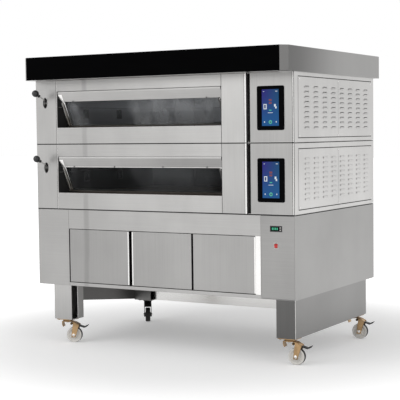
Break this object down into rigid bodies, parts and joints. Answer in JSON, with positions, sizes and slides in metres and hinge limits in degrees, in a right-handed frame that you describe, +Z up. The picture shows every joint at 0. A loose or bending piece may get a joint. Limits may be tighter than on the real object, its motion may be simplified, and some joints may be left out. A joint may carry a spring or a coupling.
{
  "type": "deck oven",
  "caption": "Electric deck oven with glass-fronted baking chambers under a steam canopy, on a heated proofer cabinet and a stand with braked swivel casters.",
  "frame": {"origin": "on the floor, under the middle of the whole oven's box", "axes": "+X to the control side, +Y to the back, +Z up; the front of the oven faces -Y"},
  "size_m": [1.6782, 1.2176, 1.5919],
  "materials": {
    "brushed_steel": "satin brushed stainless sheet",
    "shaded_steel": "darker stainless sheet inside the chamber and under the cabinet",
    "polished_steel": "bright stainless trim, rods and folded edges",
    "black_gloss": "black gloss fascia sheet",
    "screen_glass": "black bezel with a lit touch display",
    "black_plastic": "black moulded plastic",
    "black_paint": "black painted or plated steel",
    "hearth_stone": "fired baking stone",
    "mineral_wool": "mineral wool batts",
    "heating_element": "oxidised sheath of a tubular element",
    "clear_glass": "clear tempered glass",
    "yellow_zinc": "yellow zinc plated steel",
    "white_nylon": "white nylon",
    "black_rubber": "black rubber",
    "pale_plastic": "pale rocker frame",
    "red_plastic": "red rocker"
  },
  "bodies": {
    "oven_body": {"left_front_leg": "brushed_steel", "left_rear_leg": "shaded_steel", "right_side_frame": "brushed_steel", "left_side_rail": "shaded_steel", "rear_panel": "polished_steel", "front_left_caster_plate": "yellow_zinc", "front_right_caster_plate": "yellow_zinc", "rear_left_caster_plate": "black_paint", "rear_right_caster_plate": "yellow_zinc", "proofer_cabinet": "brushed_steel", "proofer_heater": "heating_element", "water_pan": "polished_steel", "proofer_control_cover": "brushed_steel", "thermostat": "black_plastic", "rocker_housing": "pale_plastic", "lower_casing": "brushed_steel", "lower_chamber": "shaded_steel", "lower_insulation": "mineral_wool", "lower_hearth_stone": "hearth_stone", "lower_ceiling_heater": "heating_element", "lower_floor_heater": "heating_element", "lower_control_panel": "brushed_steel", "lower_touch_screen": "screen_glass", "lower_louvre_panel": "brushed_steel", "lower_rear_cover": "brushed_steel", "upper_casing": "brushed_steel", "upper_chamber": "shaded_steel", "upper_insulation": "mineral_wool", "upper_hearth_stone": "hearth_stone", "upper_ceiling_heater": "heating_element", "upper_floor_heater": "heating_element", "upper_control_panel": "brushed_steel", "upper_touch_screen": "screen_glass", "upper_louvre_panel": "brushed_steel", "upper_rear_cover": "brushed_steel", "canopy": "brushed_steel", "canopy_fascia": "black_gloss"},
    "lower_door": {"lower_door_frame": "polished_steel", "lower_door_glass": "clear_glass"},
    "lower_lever": {"lower_damper_lever": "polished_steel", "lower_damper_knob": "black_plastic"},
    "upper_door": {"upper_door_frame": "polished_steel", "upper_door_glass": "clear_glass"},
    "upper_lever": {"upper_damper_lever": "polished_steel", "upper_damper_knob": "black_plastic"},
    "proofer_leaf_left": {"proofer_door_left": "brushed_steel"},
    "proofer_leaf_centre": {"proofer_door_centre": "brushed_steel"},
    "proofer_leaf_right": {"proofer_door_right": "brushed_steel"},
    "rocker": {"rocker_button": "red_plastic"},
    "front_left_swivel": {"front_left_caster_fork": "yellow_zinc"},
    "front_left_roller": {"front_left_wheel": "white_nylon"},
    "front_left_pedal": {"front_left_brake_pedal": "black_paint"},
    "front_right_swivel": {"front_right_caster_fork": "yellow_zinc"},
    "front_right_roller": {"front_right_wheel": "white_nylon"},
    "front_right_pedal": {"front_right_brake_pedal": "black_paint"},
    "rear_left_swivel": {"rear_left_caster_fork": "black_paint"},
    "rear_left_roller": {"rear_left_wheel": "black_rubber"},
    "rear_right_swivel": {"rear_right_caster_fork": "yellow_zinc"},
    "rear_right_roller": {"rear_right_wheel": "white_nylon"},
    "rear_right_pedal": {"rear_right_brake_pedal": "black_paint"}
  },
  "joints": [
    {"name": "lower_door_hinge", "type": "hinge", "parent": "oven_body", "child": "lower_door", "pos_m": [-0.16142, -0.4827, 1.0388], "axis": [1, 0, 0], "range_deg": [0, 58]},
    {"name": "lower_lever_pivot", "type": "hinge", "parent": "oven_body", "child": "lower_lever", "pos_m": [-0.76441, -0.4652, 0.9838], "axis": [1, 0, 0], "range_deg": [-8, 54]},
    {"name": "upper_door_hinge", "type": "hinge", "parent": "oven_body", "child": "upper_door", "pos_m": [-0.16142, -0.4827, 1.3994], "axis": [1, 0, 0], "range_deg": [0, 58]},
    {"name": "upper_lever_pivot", "type": "hinge", "parent": "oven_body", "child": "upper_lever", "pos_m": [-0.76441, -0.4652, 1.3444], "axis": [1, 0, 0], "range_deg": [-8, 54]},
    {"name": "proofer_hinge_left", "type": "hinge", "parent": "oven_body", "child": "proofer_leaf_left", "pos_m": [-0.60342, -0.4872, 0.497], "axis": [0, 0, -1], "range_deg": [0, 90]},
    {"name": "proofer_hinge_centre", "type": "hinge", "parent": "oven_body", "child": "proofer_leaf_centre", "pos_m": [0.16428, -0.4872, 0.497], "axis": [0, 0, 1], "range_deg": [0, 90]},
    {"name": "proofer_hinge_right", "type": "hinge", "parent": "oven_body", "child": "proofer_leaf_right", "pos_m": [0.19159, -0.4872, 0.497], "axis": [0, 0, -1], "range_deg": [0, 90]},
    {"name": "rocker_switch", "type": "hinge", "parent": "oven_body", "child": "rocker", "pos_m": [0.66709, -0.4902, 0.6005], "axis": [1, 0, 0], "range_deg": [-18, 0]},
    {"name": "front_left_swivel_turn", "type": "hinge", "parent": "oven_body", "child": "front_left_swivel", "pos_m": [-0.66641, -0.4532, 0.12], "axis": [0, 0, 1], "continuous": true},
    {"name": "front_left_wheel_spin", "type": "hinge", "parent": "front_left_swivel", "child": "front_left_roller", "pos_m": [-0.63118, -0.43896, 0.043], "axis": [-0.3746, 0.9272, 0], "continuous": true},
    {"name": "front_left_brake_press", "type": "hinge", "parent": "front_left_swivel", "child": "front_left_pedal", "pos_m": [-0.64602, -0.44496, 0.106], "axis": [-0.3746, 0.9272, 0], "range_deg": [0, 8]},
    {"name": "front_right_swivel_turn", "type": "hinge", "parent": "oven_body", "child": "front_right_swivel", "pos_m": [0.71833, -0.4532, 0.12], "axis": [0, 0, 1], "continuous": true},
    {"name": "front_right_wheel_spin", "type": "hinge", "parent": "front_right_swivel", "child": "front_right_roller", "pos_m": [0.75596, -0.44791, 0.043], "axis": [-0.1392, 0.9903, 0], "continuous": true},
    {"name": "front_right_brake_press", "type": "hinge", "parent": "front_right_swivel", "child": "front_right_pedal", "pos_m": [0.74012, -0.45014, 0.106], "axis": [-0.1392, 0.9903, 0], "range_deg": [0, 8]},
    {"name": "rear_left_swivel_turn", "type": "hinge", "parent": "oven_body", "child": "rear_left_swivel", "pos_m": [-0.66641, 0.3748, 0.12], "axis": [0, 0, 1], "continuous": true},
    {"name": "rear_left_wheel_spin", "type": "hinge", "parent": "rear_left_swivel", "child": "rear_left_roller", "pos_m": [-0.64572, 0.34293, 0.043], "axis": [0.8387, 0.5446, 0], "continuous": true},
    {"name": "rear_right_swivel_turn", "type": "hinge", "parent": "oven_body", "child": "rear_right_swivel", "pos_m": [0.71833, 0.3748, 0.12], "axis": [0, 0, 1], "continuous": true},
    {"name": "rear_right_wheel_spin", "type": "hinge", "parent": "rear_right_swivel", "child": "rear_right_roller", "pos_m": [0.75619, 0.37811, 0.043], "axis": [-0.0872, 0.9962, 0], "continuous": true},
    {"name": "rear_right_brake_press", "type": "hinge", "parent": "rear_right_swivel", "child": "rear_right_pedal", "pos_m": [0.74025, 0.37672, 0.106], "axis": [-0.0872, 0.9962, 0], "range_deg": [0, 8]}
  ]
}
